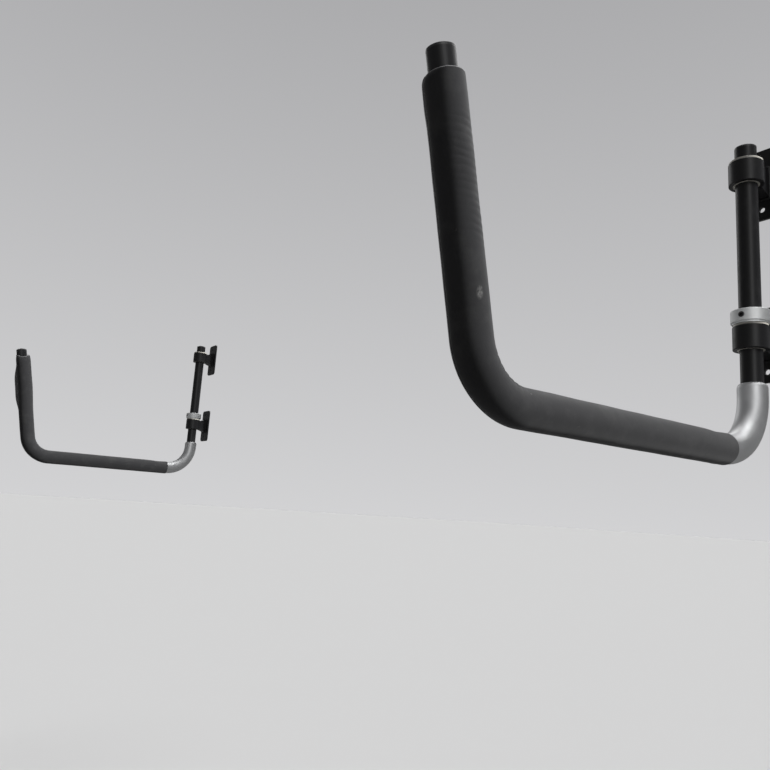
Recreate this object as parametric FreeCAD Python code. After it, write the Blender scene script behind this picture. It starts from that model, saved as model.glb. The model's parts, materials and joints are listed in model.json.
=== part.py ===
"""Wall-mounted kayak rack: a pair of foam-padded swing arms on wall brackets.

Each arm is a bent steel tube with a foam sleeve. A bright metal elbow joins it to an upright post,
and the post turns in two wall brackets, so that the arm folds flat against the wall either way.

Units are millimetres. +X runs along the wall, to the right of a person who faces it. +Y points into
the wall and +Z is up. The origin is on the wall plane, at the middle of the rectangle of wall screws.
"""

import FreeCAD
import Part

import math
import os

Vector = FreeCAD.Vector

# Layout on the wall
arm_spacing = 2032.0        # between the two posts: five 16-inch stud bays
bracket_spacing = 250.0     # between an arm's lower and upper bracket
post_standoff = 51.0        # wall plane to the post's axis
run_drop = 290.0            # origin down to the axis of the arm's level run

# Arm tube
tube_od = 30.0              # steel tube of the arm and the post
tube_wall = 2.0
front_bend_radius = 72.0    # along the centreline
arm_reach = 531.0           # post axis to the corner of the front bend
upright_length = 338.0      # that corner to the upright's open end
upright_lean = 11.6         # degrees, outwards from vertical

# Foam sleeve
foam_wall = 6.2
foam_clearance = 0.1        # between the tube and the foam, on the radius
bare_tip = 20.0             # tube left bare above the foam
foam_edge = 1.5             # rounding of the sleeve's upper end

# Elbow between the arm and the post
elbow_od = 40.0
elbow_bend_radius = 82.0    # along the centreline
elbow_bore = 19.0           # along the bend
elbow_lip = 0.5             # straight part between the arm tube and the bend
socket_rise = 18.0          # straight socket above the bend
socket_depth = 34.0         # how far the post goes in
socket_clearance = 0.15     # on the radius
socket_rim = 0.5            # flat ring round the post at the socket's mouth
socket_shoulder = 7.0       # rounded drop from that ring to the socket's side
spigot_length = 45.0        # goes into the arm tube
spigot_clearance = 0.15     # on the radius

# Spring pin through the arm tube and the spigot
pin_od = 6.0
pin_wall = 1.2
pin_slit = 1.0
pin_setback = 23.0          # elbow's face to the pin's axis
pin_recess = 0.6            # each end of the pin below the tube's crown
pin_clearance = 0.1         # on the radius

# Set screws in the elbow and in the collar
screw_od = 8.0
screw_socket = 4.0          # across the flats of the hexagon socket
screw_socket_depth = 3.5
screw_clearance = 0.1       # on the radius, and at the tip
screw_stand_out = 0.6       # beyond the crown that it is screwed into

# Wall brackets
plate_width = 56.0
plate_height = 112.0
plate_thickness = 5.0
plate_corner = 9.0
plate_edge = 1.0            # rounding round the plate's front
hole_diameter = 8.5         # for 5/16 inch lag screws
hole_spacing = 80.0         # the two holes of one bracket
barrel_od = 48.0
barrel_height = 34.0
barrel_edge = 1.2           # rounding of the barrel's rims
web_width = 24.0
web_foot = 9.0              # how far the web spreads on the plate, above and below the barrel

# Flanged bushes in the brackets
bush_wall = 3.0
bush_flange_od = 46.0
bush_flange_thickness = 3.0
bush_edge = 0.6             # rounding of the flange
bush_running_clearance = 0.05   # to the post, on the radius
bush_seat_clearance = 0.03      # to the barrel, on the radius

# Collar and thrust washer that carry the arm on the lower bracket
washer_od = 48.0
washer_thickness = 2.0
washer_clearance = 0.3      # on the radius
collar_od = 52.0
collar_height = 18.0
collar_clearance = 0.1      # on the radius
collar_edge = 1.5

# Plastic end caps of the arm and the post
cap_plug_length = 16.0
cap_plug_clearance = 0.1    # on the radius
cap_rim = 2.5
cap_dome = 4.5
post_stand_up = 20.0        # post above the upper bush

# Worked out from the sizes above
tube_radius = tube_od / 2
tube_inner_radius = tube_radius - tube_wall
foam_inner_radius = tube_radius + foam_clearance
foam_radius = foam_inner_radius + foam_wall
elbow_radius = elbow_od / 2
socket_radius = tube_radius + socket_clearance
bush_inner_radius = tube_radius + bush_running_clearance
bush_radius = bush_inner_radius + bush_wall
barrel_bore_radius = bush_radius + bush_seat_clearance

upper_bracket_z = bracket_spacing / 2
lower_bracket_z = -bracket_spacing / 2
run_z = -run_drop
socket_top_z = run_z + elbow_bend_radius + socket_rise
post_bottom_z = socket_top_z - socket_depth
upper_bush_top_z = upper_bracket_z + barrel_height / 2 + bush_flange_thickness
lower_bush_top_z = lower_bracket_z + barrel_height / 2 + bush_flange_thickness
post_top_z = upper_bush_top_z + post_stand_up

UP = Vector(0, 0, 1)
OUT = Vector(0, -1, 0)      # away from the wall

# Centreline of one arm, in the plane of its post
back_corner = Vector(0, -post_standoff, run_z)
front_corner = back_corner + OUT * arm_reach
lean = math.radians(upright_lean)
upright_direction = OUT * math.sin(lean) + UP * math.cos(lean)
upright_end = front_corner + upright_direction * upright_length
foam_end = front_corner + upright_direction * (upright_length - bare_tip)
elbow_face = back_corner + OUT * (elbow_bend_radius + elbow_lip)
socket_mouth = Vector(0, -post_standoff, socket_top_z)


def direction_between(start, end):
    """Unit vector from one point to another."""
    return (end - start).normalize()


def bar(start, end, radius):
    """Round bar between two points."""
    step = end - start
    return Part.makeCylinder(radius, step.Length, start, step)


def bend(before, corner, after, bend_radius, radius):
    """Round bar that turns the corner on a bend radius, with the points where it begins and ends."""
    to_before = direction_between(corner, before)
    to_after = direction_between(corner, after)
    half_angle = to_before.getAngle(to_after) / 2
    setback = bend_radius / math.tan(half_angle)
    entry = corner + to_before * setback
    leave = corner + to_after * setback
    centre = corner + (to_before + to_after).normalize() * (bend_radius / math.sin(half_angle))
    disc = Part.Face(Part.Wire(Part.makeCircle(radius, entry, to_before)))
    turn = 180 - math.degrees(2 * half_angle)
    return disc.revolve(centre, to_after.cross(to_before), turn), entry, leave


def joined(solids):
    """One solid out of several that meet."""
    return solids[0].multiFuse(solids[1:]).removeSplitter()


def bent_bar(start, corner, end, bend_radius, radius):
    """Round bar from start to end, bent at the corner."""
    turned, entry, leave = bend(start, corner, end, bend_radius, radius)
    return joined([bar(start, entry, radius), turned, bar(leave, end, radius)])


def rounded_rim(shape, centre, radius, size):
    """The shape with the circular edge of that centre and radius rounded."""
    tolerance = 1e-4
    rims = []
    for edge in shape.Edges:
        circle = edge.Curve
        if not isinstance(circle, Part.Circle):
            continue
        if circle.Center.distanceToPoint(centre) < tolerance and abs(circle.Radius - radius) < tolerance:
            rims.append(edge)
    return shape.makeFillet(size, rims)


def turned_profile(edges):
    """Solid of revolution about Z from the edges of a closed outline in the XZ plane."""
    return Part.Face(Part.Wire(edges)).revolve(Vector(0, 0, 0), UP, 360)


def placed(shape, point, direction):
    """A copy of a shape made along +Z at the origin, moved to a point and turned to a direction."""
    copy = shape.copy()
    copy.Placement = FreeCAD.Placement(point, FreeCAD.Rotation(UP, direction))
    return copy


def make_arm_tube():
    """Bent steel tube: the leaning upright, the front bend and the level run up to the elbow."""
    outside = bent_bar(upright_end, front_corner, elbow_face, front_bend_radius, tube_radius)
    inside = bent_bar(upright_end, front_corner, elbow_face, front_bend_radius, tube_inner_radius)
    return outside.cut(inside).cut(pin_hole())


def make_foam_sleeve():
    """Foam sleeve over the tube, from the bare tip to the elbow."""
    outside = bent_bar(foam_end, front_corner, elbow_face, front_bend_radius, foam_radius)
    inside = bent_bar(foam_end, front_corner, elbow_face, front_bend_radius, foam_inner_radius)
    return rounded_rim(outside.cut(inside), foam_end, foam_radius, foam_edge)


def pin_place():
    """Middle of the spring pin, on the axis of the run."""
    return elbow_face + OUT * pin_setback


def pin_hole():
    """Hole for the spring pin, right through the tube from top to bottom."""
    reach = UP * tube_od
    return bar(pin_place() - reach, pin_place() + reach, pin_od / 2 + pin_clearance)


def make_spring_pin():
    """Rolled spring pin with its slit facing the elbow."""
    half = UP * (tube_radius - pin_recess)
    low = pin_place() - half
    pin = bar(low, pin_place() + half, pin_od / 2)
    bore = bar(low, pin_place() + half, pin_od / 2 - pin_wall)
    slit = Part.makeBox(pin_slit, pin_od, half.Length * 2, low - Vector(pin_slit / 2, 0, 0))
    return pin.cut(bore).cut(slit)


def socket_outside():
    """Outside of the socket above the bend, with the middle of its mouth at the origin."""
    rim_radius = socket_radius + socket_rim
    drop = elbow_radius - rim_radius
    arc_radius = (drop ** 2 + socket_shoulder ** 2) / (2 * drop)
    half_sweep = math.asin(socket_shoulder / arc_radius) / 2
    arc_middle = Vector(elbow_radius - arc_radius * (1 - math.cos(half_sweep)), 0,
                        arc_radius * math.sin(half_sweep) - socket_shoulder)
    shoulder = Vector(elbow_radius, 0, -socket_shoulder)
    rim = Vector(rim_radius, 0, 0)
    corners = [
        rim,
        Vector(0, 0, 0),
        Vector(0, 0, -socket_rise),
        Vector(elbow_radius, 0, -socket_rise),
        shoulder,
    ]
    edges = [Part.LineSegment(a, b).toShape() for a, b in zip(corners, corners[1:])]
    edges.append(Part.Arc(shoulder, arc_middle, rim).toShape())
    return turned_profile(edges)


def make_elbow():
    """Hollow quarter bend with a socket for the post and a spigot for the arm tube."""
    spigot_end = elbow_face + OUT * spigot_length
    spigot = bar(elbow_face, spigot_end, tube_inner_radius - spigot_clearance)
    turned, entry, leave = bend(elbow_face, back_corner, socket_mouth, elbow_bend_radius, elbow_radius)
    upper = placed(socket_outside(), socket_mouth, UP)
    body = joined([spigot, bar(elbow_face, entry, elbow_radius), turned, upper])
    bore = bent_bar(spigot_end, back_corner, socket_mouth, elbow_bend_radius, elbow_bore / 2)
    socket = bar(socket_mouth, socket_mouth - UP * socket_depth, socket_radius)
    return body.cut(bore).cut(socket).cut(pin_hole()).cut(socket_screw_hole())


def set_screw(length):
    """Headless screw along +Z with a hexagon socket in its outer end."""
    corner_radius = screw_socket / math.sqrt(3)
    corners = []
    for step in range(7):
        angle = math.radians(60 * step)
        corners.append(Vector(corner_radius * math.cos(angle), corner_radius * math.sin(angle), length))
    hexagon = Part.Face(Part.makePolygon(corners)).extrude(UP * -screw_socket_depth)
    return Part.makeCylinder(screw_od / 2, length).cut(hexagon)


def socket_screw_place():
    """Where the elbow's set screw meets the post's axis."""
    return socket_mouth - UP * (socket_rise / 2)


def socket_screw_hole():
    """Threaded hole in the wall side of the elbow's socket."""
    return bar(socket_screw_place(), socket_screw_place() - OUT * elbow_od, screw_od / 2 + screw_clearance)


def make_socket_screw():
    """Set screw that holds the post in the elbow, on the side that faces the wall."""
    tip = tube_radius + screw_clearance
    length = elbow_radius + screw_stand_out - tip
    return placed(set_screw(length), socket_screw_place() - OUT * tip, -OUT)


def make_post():
    """Straight tube that turns in the wall brackets."""
    low = Vector(0, -post_standoff, post_bottom_z)
    high = Vector(0, -post_standoff, post_top_z)
    return bar(low, high, tube_radius).cut(bar(low, high, tube_inner_radius))


def make_cap():
    """Domed plug for an open tube end, with its shoulder at the origin and its dome up."""
    plug_radius = tube_inner_radius - cap_plug_clearance
    dome_radius = (tube_radius ** 2 + cap_dome ** 2) / (2 * cap_dome)
    half_sweep = math.asin(tube_radius / dome_radius) / 2
    top = cap_rim + cap_dome
    dome_centre_z = top - dome_radius
    rim_point = Vector(tube_radius, 0, cap_rim)
    dome_point_z = dome_centre_z + dome_radius * math.cos(half_sweep)
    dome_point = Vector(dome_radius * math.sin(half_sweep), 0, dome_point_z)
    crown = Vector(0, 0, top)
    plug_foot = Vector(0, 0, -cap_plug_length)
    corners = [
        crown,
        plug_foot,
        plug_foot + Vector(plug_radius, 0, 0),
        Vector(plug_radius, 0, 0),
        Vector(tube_radius, 0, 0),
        rim_point,
    ]
    edges = [Part.LineSegment(a, b).toShape() for a, b in zip(corners, corners[1:])]
    edges.append(Part.Arc(rim_point, dome_point, crown).toShape())
    return turned_profile(edges)


def make_arm_cap():
    """Cap in the upright's open end."""
    return placed(make_cap(), upright_end, upright_direction)


def make_post_cap():
    """Cap in the post's upper end."""
    return placed(make_cap(), Vector(0, -post_standoff, post_top_z), UP)


def make_washer():
    """Thrust washer on the lower bush."""
    low = Vector(0, -post_standoff, lower_bush_top_z)
    high = low + UP * washer_thickness
    return bar(low, high, washer_od / 2).cut(bar(low, high, tube_radius + washer_clearance))


def collar_low():
    """Middle of the collar's lower face."""
    return Vector(0, -post_standoff, lower_bush_top_z + washer_thickness)


def make_collar():
    """Collar fixed on the post, which carries the arm's weight on the washer."""
    low = collar_low()
    high = low + UP * collar_height
    body = bar(low, high, collar_od / 2)
    for centre in (low, high):
        body = rounded_rim(body, centre, collar_od / 2, collar_edge)
    middle = low + UP * (collar_height / 2)
    screw_hole = bar(middle, middle + OUT * collar_od, screw_od / 2 + screw_clearance)
    return body.cut(bar(low, high, tube_radius + collar_clearance)).cut(screw_hole)


def make_collar_screw():
    """Set screw that holds the collar on the post, on the side away from the wall."""
    tip = tube_radius + screw_clearance
    length = collar_od / 2 + screw_stand_out - tip
    middle = collar_low() + UP * (collar_height / 2)
    return placed(set_screw(length), middle + OUT * tip, OUT)


def make_web(bracket_z):
    """Web between a bracket's barrel and its plate, which spreads towards the plate."""
    half_height = barrel_height / 2 - barrel_edge
    outline = [
        (-post_standoff, half_height),
        (-post_standoff + barrel_od / 2, half_height),
        (-plate_thickness / 2, half_height + web_foot),
        (-plate_thickness / 2, -half_height - web_foot),
        (-post_standoff + barrel_od / 2, -half_height),
        (-post_standoff, -half_height),
        (-post_standoff, half_height),
    ]
    corners = [Vector(-web_width / 2, y, bracket_z + z) for y, z in outline]
    return Part.Face(Part.makePolygon(corners)).extrude(Vector(web_width, 0, 0))


def make_bracket(bracket_z):
    """Welded wall bracket: a plate with two screw holes, a web and the barrel for a bush."""
    plate_low = Vector(-plate_width / 2, -plate_thickness, bracket_z - plate_height / 2)
    plate = Part.makeBox(plate_width, plate_thickness, plate_height, plate_low)
    corners = [e for e in plate.Edges if abs(e.tangentAt(e.FirstParameter).y) > 0.5]
    plate = plate.makeFillet(plate_corner, corners)
    front_edges = [e for e in plate.Edges if e.BoundBox.YMax < -plate_thickness + 0.01]
    plate = plate.makeFillet(plate_edge, front_edges)
    barrel_low = Vector(0, -post_standoff, bracket_z - barrel_height / 2)
    barrel_high = barrel_low + UP * barrel_height
    barrel = bar(barrel_low, barrel_high, barrel_od / 2)
    for centre in (barrel_low, barrel_high):
        barrel = rounded_rim(barrel, centre, barrel_od / 2, barrel_edge)
    body = joined([plate, make_web(bracket_z), barrel])
    body = body.cut(bar(barrel_low, barrel_high, barrel_bore_radius))
    for offset in (-hole_spacing / 2, hole_spacing / 2):
        hole_back = Vector(0, 0, bracket_z + offset)
        body = body.cut(bar(hole_back, hole_back + OUT * plate_thickness, hole_diameter / 2))
    return body


def make_bush(bracket_z):
    """Flanged bush in a bracket's barrel, with its flange on top."""
    low = Vector(0, -post_standoff, bracket_z - barrel_height / 2)
    shoulder = low + UP * barrel_height
    high = shoulder + UP * bush_flange_thickness
    flange = bar(shoulder, high, bush_flange_od / 2)
    flange = rounded_rim(flange, high, bush_flange_od / 2, bush_edge)
    body = joined([bar(low, shoulder, bush_radius), flange])
    return body.cut(bar(low, high, bush_inner_radius))


def arm_pieces():
    """Every piece of one arm, with its post in the plane X = 0."""
    return {
        "arm_tube": make_arm_tube(),
        "foam_sleeve": make_foam_sleeve(),
        "arm_cap": make_arm_cap(),
        "elbow": make_elbow(),
        "spring_pin": make_spring_pin(),
        "socket_screw": make_socket_screw(),
        "post": make_post(),
        "post_cap": make_post_cap(),
        "thrust_washer": make_washer(),
        "collar": make_collar(),
        "collar_screw": make_collar_screw(),
        "upper_bracket": make_bracket(upper_bracket_z),
        "lower_bracket": make_bracket(lower_bracket_z),
        "upper_bush": make_bush(upper_bracket_z),
        "lower_bush": make_bush(lower_bracket_z),
    }


def main():
    """Writes each piece of the left and the right arm as one STEP file."""
    os.makedirs("parts", exist_ok=True)
    pieces = arm_pieces()
    for side, sign in (("left", -1), ("right", 1)):
        for name, shape in pieces.items():
            moved = shape.copy()
            moved.translate(Vector(sign * arm_spacing / 2, 0, 0))
            moved.exportStep(f"parts/{side}_{name}.step")


main()
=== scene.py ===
"""Looks of the wall-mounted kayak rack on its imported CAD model. Metres, in the CAD model's frame."""

import json
import math

import bpy
from mathutils import Matrix, Vector, noise


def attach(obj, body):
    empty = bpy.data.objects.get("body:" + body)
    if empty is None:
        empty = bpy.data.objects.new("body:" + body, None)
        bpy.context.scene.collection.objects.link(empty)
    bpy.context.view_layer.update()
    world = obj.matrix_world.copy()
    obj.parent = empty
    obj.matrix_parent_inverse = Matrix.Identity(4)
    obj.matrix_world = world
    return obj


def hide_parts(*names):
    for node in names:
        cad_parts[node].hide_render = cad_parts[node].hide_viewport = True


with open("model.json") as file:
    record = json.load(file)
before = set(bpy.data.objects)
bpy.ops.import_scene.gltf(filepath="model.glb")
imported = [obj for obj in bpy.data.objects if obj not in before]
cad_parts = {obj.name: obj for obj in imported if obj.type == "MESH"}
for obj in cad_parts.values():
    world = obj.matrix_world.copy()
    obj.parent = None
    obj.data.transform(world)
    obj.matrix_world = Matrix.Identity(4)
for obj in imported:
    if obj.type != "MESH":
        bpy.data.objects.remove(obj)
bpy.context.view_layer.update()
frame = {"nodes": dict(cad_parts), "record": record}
nodes = frame["nodes"]

# Sizes shared with the CAD model
HALF_SPACING = 1.016
POST_STANDOFF = 0.051
RUN_Z = -0.290
BEND_RADIUS = 0.072
ARM_REACH = 0.531
LEAN = math.radians(11.6)
FOAM_TOP = 0.318
ELBOW_FACE = 0.0825
FOAM_BORE = 0.0151
FOAM_RADIUS = 0.0213
BRACKET_Z = 0.125
BARREL_HEIGHT = 0.034
BARREL_RADIUS = 0.024
WEB_WIDTH = 0.024
PLATE_THICKNESS = 0.005

SIDES = {"left": -HALF_SPACING, "right": HALF_SPACING}


def smooth_step(low, high, value):
    """0 below low, 1 above high, and a smooth rise between."""
    t = min(1.0, max(0.0, (value - low) / (high - low)))
    return t * t * (3 - 2 * t)


def new_object(name, points, faces, smooth):
    """Object with a mesh of these points and faces, put in the scene."""
    mesh = bpy.data.meshes.new(name)
    mesh.from_pydata(points, [], faces)
    mesh.polygons.foreach_set("use_smooth", [smooth] * len(faces))
    mesh.update()
    piece = bpy.data.objects.new(name, mesh)
    bpy.context.scene.collection.objects.link(piece)
    return piece


# Parts of materials

def new_material(name, metallic=0.0):
    """Material with a Principled shader, and its node tree."""
    material = bpy.data.materials.new(name)
    material.use_nodes = True
    tree = material.node_tree
    shader = tree.nodes["Principled BSDF"]
    shader.inputs["Metallic"].default_value = metallic
    return material, tree, shader


def object_coordinates(tree, stretch=(1, 1, 1)):
    """Object coordinates, scaled along each axis."""
    coordinates = tree.nodes.new("ShaderNodeTexCoord")
    mapping = tree.nodes.new("ShaderNodeMapping")
    mapping.inputs["Scale"].default_value = stretch
    tree.links.new(coordinates.outputs["Object"], mapping.inputs["Vector"])
    return mapping.outputs["Vector"]


def noise_texture(tree, vector, scale, detail=3.0, rough=0.5):
    """Noise pattern with about that many features in a unit of its vector."""
    texture = tree.nodes.new("ShaderNodeTexNoise")
    texture.inputs["Scale"].default_value = scale
    texture.inputs["Detail"].default_value = detail
    texture.inputs["Roughness"].default_value = rough
    tree.links.new(vector, texture.inputs["Vector"])
    return texture.outputs["Fac"]


def cell_texture(tree, vector, scale):
    """Distance to the nearest of scattered points, about that many in a metre."""
    texture = tree.nodes.new("ShaderNodeTexVoronoi")
    texture.inputs["Scale"].default_value = scale
    tree.links.new(vector, texture.inputs["Vector"])
    return texture.outputs["Distance"]


def mapped(tree, value, low, high, out_low=0.0, out_high=1.0):
    """The value carried from one range to another, held at the ends."""
    node = tree.nodes.new("ShaderNodeMapRange")
    node.inputs["From Min"].default_value = low
    node.inputs["From Max"].default_value = high
    node.inputs["To Min"].default_value = out_low
    node.inputs["To Max"].default_value = out_high
    tree.links.new(value, node.inputs["Value"])
    return node.outputs["Result"]


def mixed_colour(tree, factor, first, second):
    """Blend of two colours, each plain or from another node."""
    node = tree.nodes.new("ShaderNodeMix")
    node.data_type = "RGBA"
    tree.links.new(factor, node.inputs["Factor"])
    for socket, colour in ((node.inputs["A"], first), (node.inputs["B"], second)):
        if isinstance(colour, tuple):
            socket.default_value = (*colour, 1)
        else:
            tree.links.new(colour, socket)
    return node.outputs["Result"]


def near_place(tree, vector, place, reach):
    """1 at a place, falling to 0 at that reach from it."""
    node = tree.nodes.new("ShaderNodeVectorMath")
    node.operation = "DISTANCE"
    node.inputs[1].default_value = place
    tree.links.new(vector, node.inputs[0])
    return mapped(tree, node.outputs["Value"], 0.0, reach, 1.0, 0.0)


def combined(tree, operation, first, second):
    """Two values joined by an operation of the Math node, such as MULTIPLY or MAXIMUM."""
    node = tree.nodes.new("ShaderNodeMath")
    node.operation = operation
    tree.links.new(first, node.inputs[0])
    tree.links.new(second, node.inputs[1])
    return node.outputs["Value"]


def add_bumps(tree, shader, heights):
    """Bump from several height patterns, each with its depth in metres."""
    normal = None
    for value, depth in heights:
        bump = tree.nodes.new("ShaderNodeBump")
        bump.inputs["Strength"].default_value = 1.0
        bump.inputs["Distance"].default_value = depth
        tree.links.new(value, bump.inputs["Height"])
        if normal is not None:
            tree.links.new(normal, bump.inputs["Normal"])
        normal = bump.outputs["Normal"]
    tree.links.new(normal, shader.inputs["Normal"])


# Materials

SCUFF_PLACE = (1.0369, -0.6053, -0.1945)      # worn mark on the right sleeve
SCUFF_STRETCH = (1.0, 1.0, 0.55)              # the mark is longer than it is wide
SCUFF_REACH = 0.0042


def foam_skin_material():
    """Moulded skin of closed-cell foam: near black and dull, with faint cells, dust and scuffs."""
    material, tree, shader = new_material("foam_skin")
    vector = object_coordinates(tree)
    dust = mapped(tree, noise_texture(tree, vector, scale=38, detail=6, rough=0.62), 0.50, 0.72)
    colour = mixed_colour(tree, dust, (0.048, 0.048, 0.050), (0.064, 0.064, 0.065))
    scuffs = mapped(tree, noise_texture(tree, vector, scale=75, detail=5, rough=0.6), 0.70, 0.76)
    colour = mixed_colour(tree, scuffs, colour, (0.140, 0.139, 0.136))
    mark_vector = object_coordinates(tree, SCUFF_STRETCH)
    mark_place = [size * stretch for size, stretch in zip(SCUFF_PLACE, SCUFF_STRETCH)]
    rubbed = mapped(tree, noise_texture(tree, mark_vector, scale=520, detail=3, rough=0.6), 0.32, 0.62)
    near_mark = near_place(tree, mark_vector, mark_place, SCUFF_REACH)
    worn = combined(tree, "MULTIPLY", rubbed, near_mark)
    colour = mixed_colour(tree, worn, colour, (0.330, 0.327, 0.320))
    tree.links.new(colour, shader.inputs["Base Color"])
    gloss = noise_texture(tree, vector, scale=55, detail=4)
    tree.links.new(mapped(tree, gloss, 0.3, 0.7, 0.50, 0.60), shader.inputs["Roughness"])
    shader.inputs["Specular IOR Level"].default_value = 0.03
    shader.inputs["Sheen Weight"].default_value = 0.24
    shader.inputs["Sheen Roughness"].default_value = 0.5
    cells = cell_texture(tree, vector, scale=1100)
    swell = noise_texture(tree, vector, scale=160, detail=2)
    add_bumps(tree, shader, [(swell, 0.00008), (cells, 0.00004)])
    return material


def foam_cut_and_highlight_material():
    """Knife-cut end of the foam: open cells, greyer and duller than the skin, and made lighter still as a
    painted highlight, with painted shade in the hollows of the pores. It is also laid on a thin band of
    skin round the top rim and on the lip of an open seam, as a painted highlight where those edges catch
    the light.
    """
    material, tree, shader = new_material("foam_cut_and_highlight")
    vector = object_coordinates(tree)
    pores = cell_texture(tree, vector, scale=900)
    # Painted shade: the cut foam is darker towards the middle of each pore, in its hollow
    depth = mapped(tree, pores, 0.1, 0.6)
    colour = mixed_colour(tree, depth, (0.170, 0.170, 0.174), (0.310, 0.310, 0.315))
    tree.links.new(colour, shader.inputs["Base Color"])
    shader.inputs["Roughness"].default_value = 0.9
    shader.inputs["Specular IOR Level"].default_value = 0.2
    add_bumps(tree, shader, [(pores, 0.0004)])
    return material


def black_paint_material():
    """Black powder coat with a fine orange peel and a little dust."""
    material, tree, shader = new_material("black_paint")
    vector = object_coordinates(tree)
    dust = mapped(tree, noise_texture(tree, vector, scale=30, detail=6, rough=0.6), 0.50, 0.75)
    colour = mixed_colour(tree, dust, (0.012, 0.012, 0.013), (0.024, 0.024, 0.025))
    tree.links.new(colour, shader.inputs["Base Color"])
    tree.links.new(mapped(tree, dust, 0.0, 1.0, 0.44, 0.56), shader.inputs["Roughness"])
    shader.inputs["Specular IOR Level"].default_value = 0.25
    peel = noise_texture(tree, vector, scale=600, detail=2)
    add_bumps(tree, shader, [(peel, 0.00003)])
    return material


def elbow_material():
    """Bright satin metal with fine polishing marks and duller patches."""
    material, tree, shader = new_material("elbow_metal", metallic=1.0)
    vector = object_coordinates(tree)
    patches = noise_texture(tree, vector, scale=45, detail=5, rough=0.6)
    colour = mixed_colour(tree, patches, (0.40, 0.405, 0.41), (0.52, 0.525, 0.53))
    tree.links.new(colour, shader.inputs["Base Color"])
    tree.links.new(mapped(tree, patches, 0.3, 0.7, 0.46, 0.58), shader.inputs["Roughness"])
    marks = noise_texture(tree, object_coordinates(tree, (220, 220, 2600)), scale=1, detail=3)
    add_bumps(tree, shader, [(patches, 0.00025), (marks, 0.00002)])
    return material


def zinc_material():
    """Zinc-plated steel, slightly clouded, with fine turning marks."""
    material, tree, shader = new_material("zinc_steel", metallic=1.0)
    vector = object_coordinates(tree)
    cloud = noise_texture(tree, vector, scale=160, detail=5, rough=0.6)
    colour = mixed_colour(tree, cloud, (0.48, 0.49, 0.50), (0.70, 0.71, 0.70))
    tree.links.new(colour, shader.inputs["Base Color"])
    tree.links.new(mapped(tree, cloud, 0.3, 0.7, 0.58, 0.70), shader.inputs["Roughness"])
    turning = noise_texture(tree, object_coordinates(tree, (150, 150, 4000)), scale=1, detail=2)
    add_bumps(tree, shader, [(turning, 0.00003)])
    return material


def black_steel_material():
    """Blackened steel of the set screws, rubbed brighter in places."""
    material, tree, shader = new_material("black_steel", metallic=0.9)
    vector = object_coordinates(tree)
    rubbed = mapped(tree, noise_texture(tree, vector, scale=420, detail=4), 0.45, 0.75)
    colour = mixed_colour(tree, rubbed, (0.045, 0.045, 0.047), (0.14, 0.135, 0.13))
    tree.links.new(colour, shader.inputs["Base Color"])
    shader.inputs["Roughness"].default_value = 0.38
    add_bumps(tree, shader, [(rubbed, 0.00003)])
    return material


def nylon_material():
    """Natural nylon of the bushes: ivory and faintly mottled, with fine turning marks."""
    material, tree, shader = new_material("nylon")
    vector = object_coordinates(tree)
    mottle = noise_texture(tree, vector, scale=140, detail=5, rough=0.6)
    colour = mixed_colour(tree, mottle, (0.62, 0.59, 0.52), (0.76, 0.74, 0.68))
    tree.links.new(colour, shader.inputs["Base Color"])
    shader.inputs["Roughness"].default_value = 0.42
    turning = noise_texture(tree, object_coordinates(tree, (120, 120, 3000)), scale=1, detail=2)
    add_bumps(tree, shader, [(turning, 0.00004)])
    return material


def cap_material():
    """Black polyethylene of the end caps with a fine moulded grain."""
    material, tree, shader = new_material("cap_plastic")
    vector = object_coordinates(tree)
    wear = mapped(tree, noise_texture(tree, vector, scale=210, detail=5, rough=0.6), 0.48, 0.75)
    colour = mixed_colour(tree, wear, (0.014, 0.014, 0.015), (0.035, 0.035, 0.036))
    tree.links.new(colour, shader.inputs["Base Color"])
    tree.links.new(mapped(tree, wear, 0.0, 1.0, 0.40, 0.60), shader.inputs["Roughness"])
    grain = cell_texture(tree, vector, scale=1500)
    add_bumps(tree, shader, [(grain, 0.00006)])
    return material


materials = {
    "black_paint": black_paint_material(),
    "cap_plastic": cap_material(),
    "elbow_metal": elbow_material(),
    "zinc_steel": zinc_material(),
    "black_steel": black_steel_material(),
    "nylon": nylon_material(),
}
foam_skin = foam_skin_material()
foam_cut_and_highlight = foam_cut_and_highlight_material()

for subpart in frame["record"]["subparts"]:
    if subpart["material_slot"] in materials:
        mesh = nodes[subpart["node"]].data
        mesh.materials.clear()
        mesh.materials.append(materials[subpart["material_slot"]])


# Line of the foam sleeves, from the top end down the upright, round the bend and along the run

BEND_ANGLE = math.pi / 2 - LEAN
SETBACK = BEND_RADIUS * math.tan(BEND_ANGLE / 2)
UPRIGHT_LENGTH = FOAM_TOP - SETBACK
BEND_LENGTH = BEND_RADIUS * BEND_ANGLE
RUN_LENGTH = ARM_REACH - ELBOW_FACE - SETBACK
FOAM_LENGTH = UPRIGHT_LENGTH + BEND_LENGTH + RUN_LENGTH

# Mesh of the foam sleeves
FOAM_STEP = 0.00125                                           # from one ring of the skin to the next
FINE_ENDS = (0.0, 0.0002, 0.0006, 0.0012, 0.0020, 0.0030)     # rings closer together at both ends
EVEN_FROM = 3                                                 # first even ring past the closer ones
PAINTED_RIM_ROWS = 3                                                  # rows of skin at the top edge in the cut foam's colour, a painted highlight along the rim
BORE_STEP = 8                                                 # rings of the skin to one of the bore
COLUMNS = 60
SEAM_COLUMNS = (-2.6, -1.6, -0.8, -0.3, 0.0, 0.3, 0.6, 0.9, 1.2, 1.7, 2.6)     # millimetres from the seam
SEAM_CUT_HIGHLIGHT_WIDTH = 0.9                                          # millimetres beside an open seam in the cut foam's colour: its cut face, lightened as a painted highlight of the lip
SHARP_ANGLE = math.radians(50)

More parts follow.
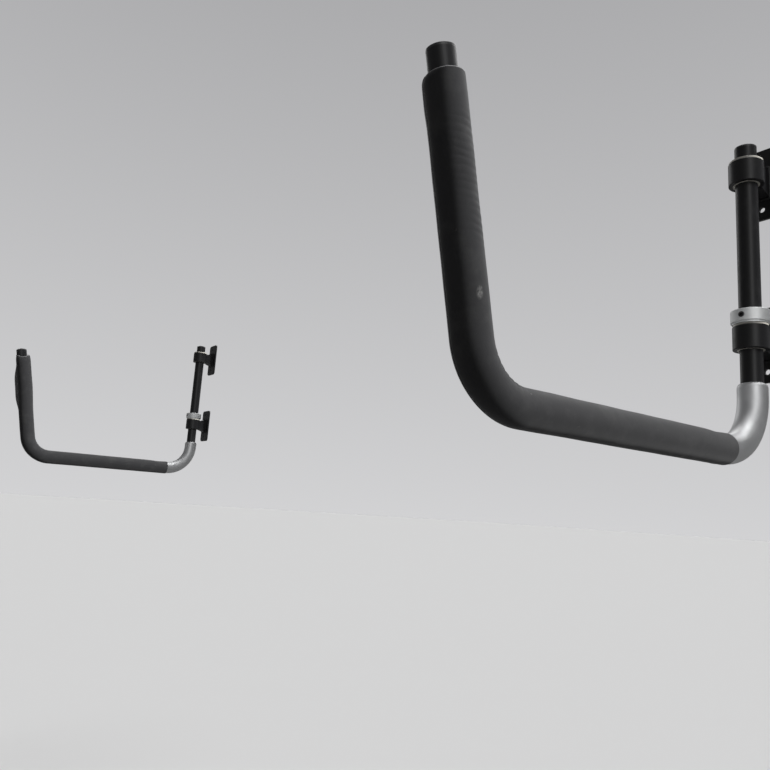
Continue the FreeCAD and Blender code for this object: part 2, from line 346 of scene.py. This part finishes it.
# Ends of the foam sleeves
SLIPPED_DOWN = {"left": -0.006, "right": 0.004}     # how far each sleeve's top end has slipped down
SLANT = {"left": 0.008, "right": 0.0}               # how much lower the top end was cut on its right side
SLANT_FADE = 0.06                                   # distance from the top end at which that is gone
THIN_SIDE = {"left": 0.0035, "right": 0.0}          # how much thinner the top end is at the seam
THIN_FADE = (0.09, 0.19)                            # where along the sleeve that fades away
END_ROUNDING = {"left": (0.022, 0.0040), "right": (0.0014, 0.0008)}      # its length and depth
SEAM_ROUNDING = {"left": (0.0, 0.0), "right": (0.0090, 0.0036)}          # as much more of it at the seam
ELBOW_END_ROUNDING = 0.0012
LEAST_WALL = 0.0012

# Seam of the foam sleeves
SEAM_ANGLE = math.radians(-24)
OPEN_SEAMS = {     # where it has come open: distance from the top end, half length and height of the lip
    "left": [(0.098, 0.060, 0.0092), (FOAM_LENGTH - 0.012, 0.012, 0.0012)],
    "right": [(0.024, 0.022, 0.0008), (FOAM_LENGTH - 0.011, 0.011, 0.0010)],
}
LIP_WIDTH = math.radians(50)
LIP_EDGE = 0.0005
CUT_LIP = 0.0004            # height of the lip above which its cut face shows
GROOVE_DEPTH = 0.0004
GROOVE_LIP_SHARE = 0.3      # how much deeper the groove is, as a share of the lip's height
GROOVE_PLACE = 0.0007
GROOVE_WIDTH = 0.0006

# Wrinkles, creases and dents of the foam sleeves
PHASE_SCALE = 3.7           # sets the patterns of the two sleeves apart
SWELL_DEPTH = 0.00035
SWELL_AROUND = 1.3
SWELL_ALONG = 22
SWELL_FADE = 0.01
WRINKLE_DEPTH = 0.0008
WRINKLE_SPACING = 0.0115
WRINKLE_WANDER = 0.8
CREASE_ANGLE = math.radians(105)
CREASE_DEPTH = 0.00045
CREASE_SPACING = 0.0078
CREASE_SLOPE = 0.18
CREASE_WOBBLE = 0.0022
CREASE_STRENGTH = 0.6       # mean strength of a crease, and how much it changes from place to place
CREASE_CHANGE = 0.8
CREASE_START = (0.035, 0.065)
CREASE_END = (0.14, 0.20)
WANDER_PATTERN = (2, 30, 7)             # scale round the sleeve, scale along it, and shift
WOBBLE_PATTERN = (1.4, 70, 3)
STRENGTH_PATTERN = (2.2, 45, 11)
DENT_DEPTH = 0.0014
DENT_PLACE = 0.030
DENT_HALF_LENGTH = 0.018


def foam_station(distance):
    """Centre of the sleeve and the direction of its outer side, that far from its top end."""
    turn = min(BEND_ANGLE, max(0.0, (distance - UPRIGHT_LENGTH) / BEND_RADIUS))
    top_outward = Vector((0, -math.cos(LEAN), -math.sin(LEAN)))
    down = Vector((0, math.sin(LEAN), -math.cos(LEAN)))
    corner = Vector((0, -POST_STANDOFF - ARM_REACH, RUN_Z))
    entry = corner - down * SETBACK
    if distance < UPRIGHT_LENGTH:
        return entry + down * (distance - UPRIGHT_LENGTH), top_outward
    outward = Vector((0, -math.cos(LEAN + turn), -math.sin(LEAN + turn)))
    centre = entry + (outward - top_outward) * BEND_RADIUS
    past_bend = max(0.0, distance - UPRIGHT_LENGTH - BEND_LENGTH)
    return centre + Vector((0, past_bend, 0)), outward


def column_angles():
    """Angles of the mesh's columns, closer together at the seam."""
    seam = [SEAM_ANGLE + offset / 1000 / FOAM_RADIUS for offset in SEAM_COLUMNS]
    gap = seam[-1] - seam[0]
    step = (2 * math.pi - gap) / COLUMNS
    return seam + [seam[-1] + step * (i + 1) for i in range(COLUMNS - 1)]


def rounded_drop(distance, length, depth):
    """How far an end rounded over that length and depth has dropped at a distance from the end."""
    if distance >= length:
        return 0.0
    return depth * (1 - math.sqrt(1 - (1 - distance / length) ** 2))


def lip_height(side, distance):
    """How far the lip of the seam stands out, that far from the sleeve's top end."""
    return sum(height * math.exp(-((distance - place) / half_length) ** 4)
               for place, half_length, height in OPEN_SEAMS[side])


def uneven(pattern, around, distance, phase):
    """Smooth random pattern on a sleeve, from about -1 to 1."""
    around_scale, along_scale, shift = pattern
    return noise.noise(Vector((around * around_scale, distance * along_scale, phase + shift)))


def top_end_radius(side, distance, from_seam):
    """Radius of a sleeve that is thinner and rounded at its top end, most of all at the seam."""
    seam_side = max(0.0, math.cos(from_seam)) ** 2
    length, depth = END_ROUNDING[side]
    seam_length, seam_depth = SEAM_ROUNDING[side]
    from_top = distance - SLIPPED_DOWN[side]
    radius = FOAM_RADIUS
    radius -= THIN_SIDE[side] * math.cos(from_seam) * (1 - smooth_step(*THIN_FADE, distance))
    radius -= rounded_drop(from_top, length + seam_length * seam_side, depth + seam_depth * seam_side)
    return max(radius, FOAM_BORE + LEAST_WALL)


def seam_relief(side, distance, from_seam):
    """Height of the open seam: one lip of the glued slit stands out, with a groove at its foot."""
    lip = lip_height(side, distance)
    across = from_seam * FOAM_RADIUS
    lip_fall = from_seam / LIP_WIDTH if from_seam < 0 else across / LIP_EDGE
    groove = GROOVE_DEPTH + GROOVE_LIP_SHARE * lip
    groove_fall = (across - GROOVE_PLACE) / GROOVE_WIDTH
    return lip * math.exp(-lip_fall ** 2) - groove * math.exp(-groove_fall ** 2)


def bend_wrinkles(distance, angle, phase):
    """Depth of the compression wrinkles on the inner side of the bend."""
    inner = max(0.0, -math.cos(angle)) ** 2
    in_bend = math.sin(math.pi * min(1.0, max(0.0, (distance - UPRIGHT_LENGTH) / BEND_LENGTH)))
    wander = WRINKLE_WANDER * uneven(WANDER_PATTERN, math.sin(angle), distance, phase)
    wrinkle = 0.5 - 0.5 * math.cos(2 * math.pi * distance / WRINKLE_SPACING + 2 * wander)
    return WRINKLE_DEPTH * inner * in_bend * wrinkle ** 2


def upright_creases(distance, angle, phase):
    """Depth of the fine creases on one side of the upright, where the sleeve was pushed on."""
    on_upright = smooth_step(*CREASE_START, distance) * (1 - smooth_step(*CREASE_END, distance))
    from_creases = math.remainder(angle - CREASE_ANGLE, 2 * math.pi)
    crease_side = max(0.0, math.cos(from_creases)) ** 2
    wobble = uneven(WOBBLE_PATTERN, from_creases, distance, phase)
    strength = CREASE_STRENGTH + CREASE_CHANGE * uneven(STRENGTH_PATTERN, from_creases, distance, phase)
    along = distance - CREASE_SLOPE * FOAM_RADIUS * from_creases + CREASE_WOBBLE * wobble
    crease = (0.5 + 0.5 * math.cos(2 * math.pi * along / CREASE_SPACING)) ** 2
    return CREASE_DEPTH * strength * on_upright * crease_side * crease


def pressed_dent(from_end, angle):
    """Depth of the dent that loads have pressed into the top of the run, near the elbow."""
    pressed = math.exp(-((from_end - DENT_PLACE) / DENT_HALF_LENGTH) ** 2)
    return DENT_DEPTH * pressed * max(0.0, -math.cos(angle))


def foam_radius(side, distance, angle):
    """Radius of the sleeve's skin, with its seam, its wrinkles and its handling dents."""
    phase = SIDES[side] * PHASE_SCALE
    from_end = FOAM_LENGTH - distance
    from_seam = math.remainder(angle - SEAM_ANGLE, 2 * math.pi)
    around = (math.cos(angle) * SWELL_AROUND, math.sin(angle) * SWELL_AROUND)
    swell = noise.noise(Vector((*around, distance * SWELL_ALONG + phase)))
    radius = top_end_radius(side, distance, from_seam)
    radius -= rounded_drop(from_end, ELBOW_END_ROUNDING, ELBOW_END_ROUNDING)
    radius += SWELL_DEPTH * swell * smooth_step(0, SWELL_FADE, from_end)
    radius += seam_relief(side, distance, from_seam)
    radius -= bend_wrinkles(distance, angle, phase)
    radius -= upright_creases(distance, angle, phase)
    radius -= pressed_dent(from_end, angle)
    return radius


def ring(side, distance, radii, angles):
    """Points round the sleeve at one distance from its top end, more where that end was cut on a slant."""
    slant = SLANT[side] * (1 - smooth_step(0, SLANT_FADE, distance))
    points = []
    for angle, radius in zip(angles, radii):
        centre, outward = foam_station(distance + slant * max(0.0, math.sin(angle)) ** 2)
        spoke = outward * math.cos(angle) + Vector((math.sin(angle), 0, 0))
        points.append(centre + spoke * radius + Vector((SIDES[side], 0, 0)))
    return points


def skin_distances(side):
    """Distances of the skin's rings from the sleeve's planned top end."""
    top = SLIPPED_DOWN[side]
    length = FOAM_LENGTH - top
    count = round(length / FOAM_STEP)
    distances = [top + d for d in FINE_ENDS]
    distances += [top + length * i / count for i in range(EVEN_FROM, count - EVEN_FROM + 1)]
    distances += [FOAM_LENGTH - d for d in reversed(FINE_ENDS)]
    return distances


def make_foam_sleeve(side):
    """Foam sleeve as one closed mesh: its skin, its two cut ends and its bore."""
    angles = column_angles()
    distances = skin_distances(side)
    bore_radii = [FOAM_BORE] * len(angles)
    skin = [ring(side, d, [foam_radius(side, d, a) for a in angles], angles) for d in distances]
    bore = [ring(side, d, bore_radii, angles) for d in reversed(distances[::BORE_STEP] + [FOAM_LENGTH])]
    rings = skin + bore
    width = len(angles)
    # Columns of an open seam's lip that take the cut foam's colour, partly its cut face and partly a
    # painted highlight
    seam_cut_and_highlight = [j for j, offset in enumerate(SEAM_COLUMNS) if 0 <= offset < SEAM_CUT_HIGHLIGHT_WIDTH]
    points = [point for one_ring in rings for point in one_ring]
    faces = []
    face_slots = []
    for i in range(len(rings)):
        here = i * width
        after = (i + 1) % len(rings) * width
        # Cut ends, and the top rows of skin, which take the cut foam's colour as a painted highlight along
        # the rim
        is_cut_or_lit_rim = i < PAINTED_RIM_ROWS or i in (len(skin) - 1, len(rings) - 1)
        is_open = i < len(skin) and lip_height(side, distances[i]) > CUT_LIP
        for j in range(width):
            k = (j + 1) % width
            faces.append((here + j, after + j, after + k, here + k))
            face_slots.append(1 if is_cut_or_lit_rim or (is_open and j in seam_cut_and_highlight) else 0)
    foam = new_object(f"{side}_foam", points, faces, smooth=True)
    foam.data.materials.append(foam_skin)
    foam.data.materials.append(foam_cut_and_highlight)
    foam.data.polygons.foreach_set("material_index", face_slots)
    foam.data.set_sharp_from_angle(angle=SHARP_ANGLE)
    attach(foam, f"{side}_arm")
    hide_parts(f"{side}_foam_sleeve")


for side in SIDES:
    make_foam_sleeve(side)


# Weld beads of the brackets

BEAD_RADIUS = 0.0021
BEAD_STEP = 0.0006
BEAD_SIDES = 10
BEAD_RIPPLE = 0.0024        # from one ripple to the next
RIPPLE_SHARE = 0.10         # height of a ripple, as a share of the bead's radius
LEAST_END = 0.05            # keeps the rounded ends of a bead from closing to a point
WEB_FOOT = 0.009
BARREL_EDGE = 0.0012


def bead_centres(points, closed):
    """Evenly spaced points on the straight lines between points."""
    ends = points[1:] + points[:1] if closed else points[1:]
    centres = []
    for start, end in zip(points, ends):
        count = max(2, round((end - start).length / BEAD_STEP))
        centres += [start.lerp(end, i / count) for i in range(count)]
    return centres if closed else centres + [points[-1]]


def bead_rings(path, closed):
    """Rings of a rippled weld bead along a path."""
    centres = bead_centres(path, closed)
    angles = [2 * math.pi * k / BEAD_SIDES for k in range(BEAD_SIDES)]
    rings = []
    for i, centre in enumerate(centres):
        before = centres[i - 1] if closed or i > 0 else centre
        after = centres[(i + 1) % len(centres)] if closed or i + 1 < len(centres) else centre
        along = (after - before).normalized()
        first = along.cross(Vector((0, 1, 0))).normalized()
        second = along.cross(first)
        ripple = math.sin(2 * math.pi * i * BEAD_STEP / BEAD_RIPPLE)
        radius = BEAD_RADIUS * (1 + RIPPLE_SHARE * ripple)
        if not closed:
            from_end = min(i, len(centres) - 1 - i) * BEAD_STEP / BEAD_RADIUS
            radius *= math.sqrt(max(LEAST_END, 1 - max(0.0, 1 - from_end) ** 2))
        rings.append([centre + (first * math.cos(a) + second * math.sin(a)) * radius for a in angles])
    return rings


def add_bead(points, faces, path, closed):
    """Adds one bead to lists of mesh points and faces."""
    rings = bead_rings(path, closed)
    base = len(points)
    width = len(rings[0])
    for one_ring in rings:
        points.extend(one_ring)
    spans = len(rings) if closed else len(rings) - 1
    for i in range(spans):
        here = base + i * width
        after = base + (i + 1) % len(rings) * width
        for j in range(width):
            k = (j + 1) % width
            faces.append((here + j, here + k, after + k, after + j))
    if not closed:
        faces.append(tuple(base + j for j in reversed(range(width))))
        faces.append(tuple(base + (len(rings) - 1) * width + j for j in range(width)))


def make_welds(name, x, z):
    """Weld beads round the foot of a bracket's web and up both sides of its barrel."""
    half_width = WEB_WIDTH / 2
    half_height = BARREL_HEIGHT / 2 - BARREL_EDGE
    foot = half_height + WEB_FOOT
    barrel_y = -POST_STANDOFF + math.sqrt(BARREL_RADIUS ** 2 - half_width ** 2)
    points = []
    faces = []
    corners = [(-half_width, -foot), (half_width, -foot), (half_width, foot), (-half_width, foot)]
    add_bead(points, faces, [Vector((x + dx, -PLATE_THICKNESS, z + dz)) for dx, dz in corners], True)
    for dx in (-half_width, half_width):
        line = [Vector((x + dx, barrel_y, z + dz)) for dz in (-half_height, half_height)]
        add_bead(points, faces, line, False)
    welds = new_object(name, points, faces, smooth=True)
    welds.data.materials.append(materials["black_paint"])
    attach(welds, "wall_brackets")


for side, x in SIDES.items():
    make_welds(f"{side}_upper_welds", x, BRACKET_Z)
    make_welds(f"{side}_lower_welds", x, -BRACKET_Z)


# Camera of the photograph

CAMERA_PLACE = (1.4926, -1.0457, -0.3996)
CAMERA_RIGHT = Vector((0.6039, 0.7946, 0.0623))
CAMERA_UP = Vector((0.1037, -0.1558, 0.9823))
CAMERA_FORWARD = Vector((-0.7903, 0.5868, 0.1765))

camera_data = bpy.data.cameras.new("camera")
camera_data.sensor_width = 36
camera_data.lens = 33.21
camera = bpy.data.objects.new("camera", camera_data)
camera_turn = Matrix((CAMERA_RIGHT, CAMERA_UP, -CAMERA_FORWARD)).transposed().to_4x4()
camera.matrix_world = Matrix.Translation(CAMERA_PLACE) @ camera_turn
bpy.context.scene.collection.objects.link(camera)
bpy.context.scene.camera = camera


# Floor and background

FLOOR_Z = -1.30
FLOOR_REACH = 150
FLOOR_SHOWN = (0.80, 0.80, 0.80)
FLOOR_AS_LIGHT = (0.15, 0.15, 0.15)
SURROUND_LOW = (0.64, 0.64, 0.65)
SURROUND_HIGH = (0.27, 0.27, 0.28)
SURROUND_AS_LIGHT = 0.15
MIRROR_SHARE = 0.35     # how much of the surround's brightness its mirror images keep


def shown_rays(tree):
    """1 for rays from the camera, MIRROR_SHARE for mirror images, and 0 for rays that only carry light."""
    path = tree.nodes.new("ShaderNodeLightPath")
    mirrored = mapped(tree, path.outputs["Is Glossy Ray"], 0.0, 1.0, 0.0, MIRROR_SHARE)
    return combined(tree, "MAXIMUM", path.outputs["Is Camera Ray"], mirrored)


def make_floor():
    """Plain pale floor below the rack, which throws back less light than it shows."""
    turns = ((-1, -1), (1, -1), (1, 1), (-1, 1))
    corners = [(x * FLOOR_REACH, y * FLOOR_REACH, FLOOR_Z) for x, y in turns]
    material, tree, shader = new_material("floor")
    colour = mixed_colour(tree, shown_rays(tree), FLOOR_AS_LIGHT, FLOOR_SHOWN)
    tree.links.new(colour, shader.inputs["Base Color"])
    shader.inputs["Roughness"].default_value = 0.9
    shader.inputs["Specular IOR Level"].default_value = 0.0
    floor = new_object("floor", corners, [(0, 1, 2, 3)], smooth=False)
    floor.data.materials.append(material)


def make_world():
    """Plain pale surround, darker overhead, that lights the object less than it shows."""
    world = bpy.data.worlds.new("studio")
    world.use_nodes = True
    tree = world.node_tree
    background = tree.nodes["Background"]
    coordinates = tree.nodes.new("ShaderNodeTexCoord")
    parts = tree.nodes.new("ShaderNodeSeparateXYZ")
    tree.links.new(coordinates.outputs["Generated"], parts.inputs["Vector"])
    height = mapped(tree, parts.outputs["Z"], 0.0, 1.0)
    colour = mixed_colour(tree, height, SURROUND_LOW, SURROUND_HIGH)
    tree.links.new(colour, background.inputs["Color"])
    strength = mapped(tree, shown_rays(tree), 0.0, 1.0, SURROUND_AS_LIGHT, 1.0)
    tree.links.new(strength, background.inputs["Strength"])
    bpy.context.scene.world = world


# Lights

CARD_WIDTH = 0.7


def add_lamp(data, place, direction):
    """Puts a lamp in the scene, turned to a direction."""
    lamp = bpy.data.objects.new(data.name, data)
    lamp.location = place
    lamp.rotation_euler = direction.to_track_quat("-Z", "Y").to_euler()
    bpy.context.scene.collection.objects.link(lamp)
    return lamp


def add_card(name, place, target, height, power):
    """Glowing card, turned to its target, that shows in the metal alone."""
    data = bpy.data.lights.new(name, "AREA")
    data.shape = "RECTANGLE"
    data.size = CARD_WIDTH
    data.size_y = height
    data.energy = power
    card = add_lamp(data, Vector(place), Vector(target) - Vector(place))
    card.visible_diffuse = False


def add_sun(name, source, spread, strength):
    """Distant light that comes from a direction, spread over an angle in degrees."""
    data = bpy.data.lights.new(name, "SUN")
    data.angle = math.radians(spread)
    data.energy = strength
    return add_lamp(data, Vector(source), -Vector(source))


# The side lamp leaves no image in the metal, and the cards and the sky are seen there alone
make_floor()
add_sun("key", source=(0.22, 0.04, 0.97), spread=35, strength=1.2)
side_lamp = add_sun("side", source=(0.76, 0.54, 0.36), spread=12, strength=3.0)
side_lamp.visible_glossy = False
add_sun("rim", source=(-0.90, 0.20, 0.38), spread=30, strength=0.35)
add_card("card", place=(3.57, -1.98, -0.20), target=(HALF_SPACING, -0.05, -0.20), height=1.8, power=33)
add_card("high_card", place=(3.03, -1.40, 1.53), target=(HALF_SPACING, -0.06, -0.24), height=1.4, power=15)
reflected_sky = add_sun("sky", source=(-0.06, 0.55, 0.83), spread=50, strength=1.8)
reflected_sky.visible_diffuse = False
make_world()
bpy.context.scene.view_settings.view_transform = "Standard"
